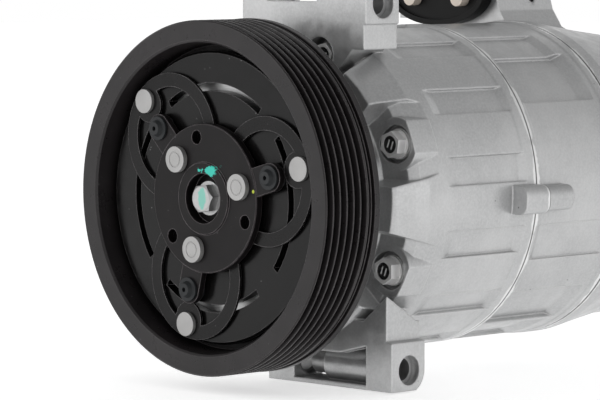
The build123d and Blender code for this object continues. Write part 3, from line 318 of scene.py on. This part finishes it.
CAST = cast_paint("cast_paint", 0.96, (FRONT_SEAM,))
CAST_REAR = cast_paint("cast_paint_rear", 0.94, (FRONT_SEAM, REAR_SEAM))
PULLEY = black_coat("pulley_coat", base=0.014, warm=0.10, rough=0.30, edge_tone=0.13, dust=0.25, shine=0.32,
                    shade=0.05)
ground_face(PULLEY, start=11.5, end=12.5, radius=55.5)
HUB = black_coat("hub_coat", base=0.007, warm=0.12, rough=0.34, edge_tone=0.30, dust=0.3, shine=0.16,
                 shade=0.35)
ARMATURE = black_coat("armature_coat", base=0.004, warm=0.05, rough=0.20, edge_tone=0.28, dust=0.5,
                      shine=0.22, shade=0.1)
LEAF = black_coat("leaf_coat", base=0.006, warm=0.06, rough=0.26, edge_tone=0.32, dust=0.3, shine=0.19,
                  shade=0.3)
COIL_SHELL = black_coat("coil_shell_coat", base=0.05, warm=0.0, rough=0.45, edge_tone=0.25, dust=0.25,
                        shine=0.5, shade=0.35)
RIVET = bare_metal("rivet_steel", 0.42, 0.50, metallic=0.7, warm=0.01, grain=0.0009, marks=0.45)
ZINC = bare_metal("zinc_plate", 0.72, 0.42, metallic=0.45, warm=0.005)
HUB_BOLT = bare_metal("hub_bolt_plate", 0.50, 0.34, metallic=0.8)
STEEL = bare_metal("ground_steel", 0.56, 0.28)
SPRING_STEEL = bare_metal("spring_steel", 0.30, 0.36)
MACHINED = bare_metal("machined_aluminium", 0.74, 0.30, warm=0.005)
SLEEVE = bare_metal("sleeve_steel", 0.50, 0.42, metallic=0.9)
GASKET = bare_metal("gasket_coat", 0.16, 0.5, metallic=0.4)
STOPPER = plastic("stopper_rubber", 0.014, 0.58, warm=-0.12, shine=0.35)
SEAL = plastic("seal_rubber", 0.016, 0.5)
BEARING_SEAL = plastic("bearing_seal_rubber", 0.030, 0.5, warm=0.35)
CAP = plastic("cap_plastic", 0.004, 0.42, shine=0.14)
PLUG = plastic("plug_plastic", 0.60, 0.45, warm=0.14)
CAGE = plastic("cage_plastic", 0.40, 0.5, warm=0.15)
BRASS = coloured("valve_brass", (0.62, 0.46, 0.20, 1.0), 0.30, 1.0)
BRONZE = coloured("cup_bronze", (0.55, 0.34, 0.16, 1.0), 0.30, 1.0)
RESIN = coloured("coil_resin", (0.20, 0.05, 0.02, 1.0), 0.25, 0.0)

dab(HUB_BOLT, PALE_TURQUOISE, place=(0.7, 0.4, 0.2), size=(2.1, 4, 4.2), ragged=0.3)
dab(HUB, TURQUOISE, place=(4.0, 1.5, 10.8), size=(4.4, 3, 2.0), ragged=1.0)
dab(HUB, YELLOW, place=(26.9, 2.4, 4.0), size=(0.7, 2, 0.7), ragged=0.2)

LOOKS = {
    CAST: ["front_housing"],
    CAST_REAR: ["cylinder_block", "rear_head"],
    PULLEY: ["pulley"],
    HUB: ["drive_hub"],
    ARMATURE: ["armature_plate"],
    LEAF: ["leaf_springs"],
    COIL_SHELL: ["coil_shell"],
    RIVET: ["inner_rivets", "outer_rivets"],
    ZINC: ["through_bolts", "bolt_washers"],
    HUB_BOLT: ["hub_bolt"],
    STEEL: ["shaft", "cam_rotor", "fixed_gear", "moving_gear", "pivot_ball", "dowel_pins", "valve_plate",
            "bearing_inner_race", "bearing_outer_race", "bearing_balls", "rotor_thrust_bearing",
            "plate_thrust_bearing", "shaft_needle_bearing", "adjusting_screw", "gap_shim"],
    SPRING_STEEL: ["suction_reed", "discharge_reed", "reed_retainer", "coil_snap_ring", "nose_snap_ring",
                   "seal_snap_ring"],
    MACHINED: ["wobble_plate"] + [f"piston_{k}" for k in range(1, 8)],
    SLEEVE: ["mount_sleeves"],
    GASKET: ["head_gasket"],
    STOPPER: ["rubber_stoppers"],
    SEAL: ["front_o_ring", "shaft_seal"],
    BEARING_SEAL: ["bearing_seals"],
    CAP: ["port_cap"],
    PLUG: ["port_plugs"],
    CAGE: ["bearing_cage"],
    BRASS: ["relief_valve"],
    BRONZE: [f"ball_cup_{k}" for k in range(1, 8)],
    RESIN: ["coil_winding"],
}
for material, names in LOOKS.items():
    for node_name in names:
        mesh = NODES[node_name].data
        mesh.materials.clear()
        mesh.materials.append(material)
        for polygon in mesh.polygons:
            polygon.material_index = 0

# ---------------------------------------------------------------- painted shade and highlights in the bolt sockets
SOCKET_SHADE_PAINT = plastic("socket_shade_paint", 0.008, 0.30)
SOCKET_HIGHLIGHT_PAINT = plastic("socket_highlight_paint", 0.62, 0.50)


def flat_piece(name, points_sets, y, depth, material, body):
    """Thin plates square to the shaft, each from its outline of (X, Z) points in mm, joined in one mesh."""
    vertices, faces = [], []
    for points in points_sets:
        first = len(vertices)
        count = len(points)
        vertices += [(x * MM, y * MM, z * MM) for x, z in points]
        vertices += [(x * MM, (y + depth) * MM, z * MM) for x, z in points]
        faces.append(tuple(range(first, first + count)))
        faces.append(tuple(range(first + 2 * count - 1, first + count - 1, -1)))
        for i in range(count):
            j = (i + 1) % count
            faces.append((first + j, first + i, first + count + i, first + count + j))
    mesh = bpy.data.meshes.new(name)
    mesh.from_pydata(vertices, [], faces)
    mesh.materials.append(material)
    piece = bpy.data.objects.new(name, mesh)
    bpy.context.scene.collection.objects.link(piece)
    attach(piece, body)
    return piece


def circle(centre, radius, count=32):
    """Points round a circle."""
    return [(centre[0] + radius * cos(2 * pi * k / count), centre[1] + radius * sin(2 * pi * k / count))
            for k in range(count)]


def turned_box(centre, offset, size, angle):
    """Rectangle of (width, height) whose centre is offset from the given centre, turned by an angle."""
    result = []
    for a, b in ((-1, -1), (1, -1), (1, 1), (-1, 1)):
        x = offset[0] + a * size[0] / 2
        z = offset[1] + b * size[1] / 2
        turned_x = x * cos(angle) - z * sin(angle)
        turned_z = x * sin(angle) + z * cos(angle)
        result.append((centre[0] + turned_x, centre[1] + turned_z))
    return result


SOCKET_FLOOR = FRONT + 50.6         # of the sockets in the through bolts' heads
SOCKET_R = 3.35
SHADE_DISC_START = SOCKET_FLOOR - 0.35
SHADE_DISC_DEPTH = 0.33
GLINT_START = SOCKET_FLOOR - 0.45
GLINT_DEPTH = 0.12
GLINT_SIZE = (0.55, 3.2)
GLINT_OFFSET = 1.0
GLINT_TURN = radians(-20)

centres = []
for k in range(BOLTS):
    a = radians(BOLT_ANGLE + k * 360 / BOLTS)
    centres.append((BOLT_CIRCLE * cos(a), BOLT_CIRCLE * sin(a)))
# painted shade: a dark disc inside each bolt head's socket
flat_piece("bolt_socket_painted_shade", [circle(c, SOCKET_R) for c in centres], SHADE_DISC_START, SHADE_DISC_DEPTH,
           SOCKET_SHADE_PAINT, "housing")
# painted highlights: two pale bars across each socket
bars = []
for c in centres:
    for side in (-1, 1):
        bars.append(turned_box(c, (side * GLINT_OFFSET, 0), GLINT_SIZE, GLINT_TURN))
flat_piece("bolt_socket_painted_highlights", bars, GLINT_START, GLINT_DEPTH,
           SOCKET_HIGHLIGHT_PAINT, "housing")

# ---------------------------------------------------------------- studio
FLOOR_Z = -0.0745                   # just under the lower ear
FLOOR_HALF = 4.0
FLOOR_GLOW = 0.55                   # keeps the floor as white as the tent round it


def floor_plane():
    """Plain pale floor under the lower ear."""
    mesh = bpy.data.meshes.new("floor")
    corners = [(a * FLOOR_HALF, b * FLOOR_HALF, FLOOR_Z) for a, b in ((-1, -1), (1, -1), (1, 1), (-1, 1))]
    mesh.from_pydata(corners, [], [(0, 1, 2, 3)])
    floor = bpy.data.objects.new("floor", mesh)
    bpy.context.scene.collection.objects.link(floor)
    s = Shader("floor_paper")
    tone = s.mix(s.noise(0.3, 2.0), grey(0.93), grey(0.95))
    s.finish(tone, 0.9, **{"Emission Color": (1.0, 1.0, 1.0, 1.0), "Emission Strength": FLOOR_GLOW})
    mesh.materials.append(s.material)


floor_plane()


def softbox(name, place, target, size, power):
    """Rectangular light of (width, height) metres, aimed at a target."""
    data = bpy.data.lights.new(name, "AREA")
    data.shape = "RECTANGLE"
    data.size, data.size_y = size
    data.energy = power
    lamp = bpy.data.objects.new(name, data)
    bpy.context.scene.collection.objects.link(lamp)
    place = Vector(place)
    back = (place - Vector(target)).normalized()
    lamp.matrix_world = Matrix.Translation(place) @ back.to_track_quat("Z", "Y").to_matrix().to_4x4()
    return lamp


MIDDLE = (0.0, 0.08, 0.0)
softbox("front_left", place=(-0.6, -1.1, 0.5), target=MIDDLE, size=(0.5, 0.9), power=3.2)
softbox("right_low", place=(1.3, -0.1, -0.02), target=MIDDLE, size=(0.7, 0.3), power=0.5)


def studio_world():
    """White light tent that is dimmer overhead."""
    world = bpy.data.worlds.new("studio")
    bpy.context.scene.world = world
    world.use_nodes = True
    tree = world.node_tree
    background = tree.nodes["Background"]
    background.inputs["Color"].default_value = (1.0, 1.0, 1.0, 1.0)
    direction = tree.nodes.new("ShaderNodeTexCoord")
    parts = tree.nodes.new("ShaderNodeSeparateXYZ")
    strength = tree.nodes.new("ShaderNodeMapRange")
    strength.interpolation_type = "SMOOTHSTEP"
    for name, number in (("From Min", 0.05), ("From Max", 0.85), ("To Min", 1.0), ("To Max", 0.40)):
        strength.inputs[name].default_value = number
    tree.links.new(direction.outputs["Generated"], parts.inputs[0])
    tree.links.new(parts.outputs["Z"], strength.inputs["Value"])
    tree.links.new(strength.outputs["Result"], background.inputs["Strength"])


studio_world()
bpy.context.scene.view_settings.view_transform = "Standard"

# ---------------------------------------------------------------- camera
AZIMUTH = radians(45.477)           # from -Y towards +X
ELEVATION = radians(4.274)
FIELD_OF_VIEW = radians(9.175)
CAMERA_PLACE = Vector((1.03822, -0.97839, 0.10558))


def photo_camera():
    """A long lens from the front right, a little above the shaft."""
    data = bpy.data.cameras.new("camera")
    data.sensor_fit = "HORIZONTAL"
    data.angle = FIELD_OF_VIEW
    data.clip_end = 20
    camera = bpy.data.objects.new("camera", data)
    bpy.context.scene.collection.objects.link(camera)
    back = Vector((sin(AZIMUTH) * cos(ELEVATION), -cos(AZIMUTH) * cos(ELEVATION), sin(ELEVATION)))
    right = Vector((cos(AZIMUTH), sin(AZIMUTH), 0))
    up = back.cross(right)
    turn = Matrix((right, up, back)).transposed().to_4x4()
    camera.matrix_world = Matrix.Translation(CAMERA_PLACE) @ turn
    bpy.context.scene.camera = camera


photo_camera()
